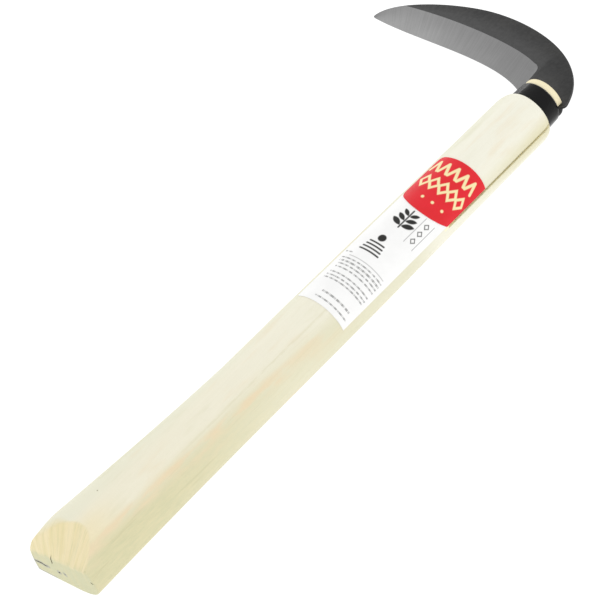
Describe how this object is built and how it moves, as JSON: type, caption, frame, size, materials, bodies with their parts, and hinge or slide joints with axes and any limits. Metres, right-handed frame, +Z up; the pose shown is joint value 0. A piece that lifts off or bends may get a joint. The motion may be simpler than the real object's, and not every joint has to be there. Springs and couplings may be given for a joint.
{
  "type": "hand sickle",
  "caption": "Hand sickle: forged crescent blade with a single ground bevel, its hooked tang set in the slot of a flared wooden handle under a steel ferrule.",
  "frame": {"origin": "on the handle's axis, in the flat end of the butt", "axes": "+X along the handle's axis toward the blade, +Y toward the blade's tip, +Z up out of the bevelled face, across the plane of the blade"},
  "size_m": [0.4242, 0.1803, 0.0344],
  "materials": {
    "forged_steel": "black forge scale, with the bevel ground bright",
    "wood": "bare planed softwood",
    "black_ferrule": "glossy black enamel on pressed steel",
    "white_paper": "coated paper",
    "red_paper": "coated paper"
  },
  "bodies": {
    "root": {"blade": "forged_steel", "handle": "wood", "ferrule": "black_ferrule", "white_label": "white_paper", "red_label": "red_paper"}
  },
  "joints": []
}
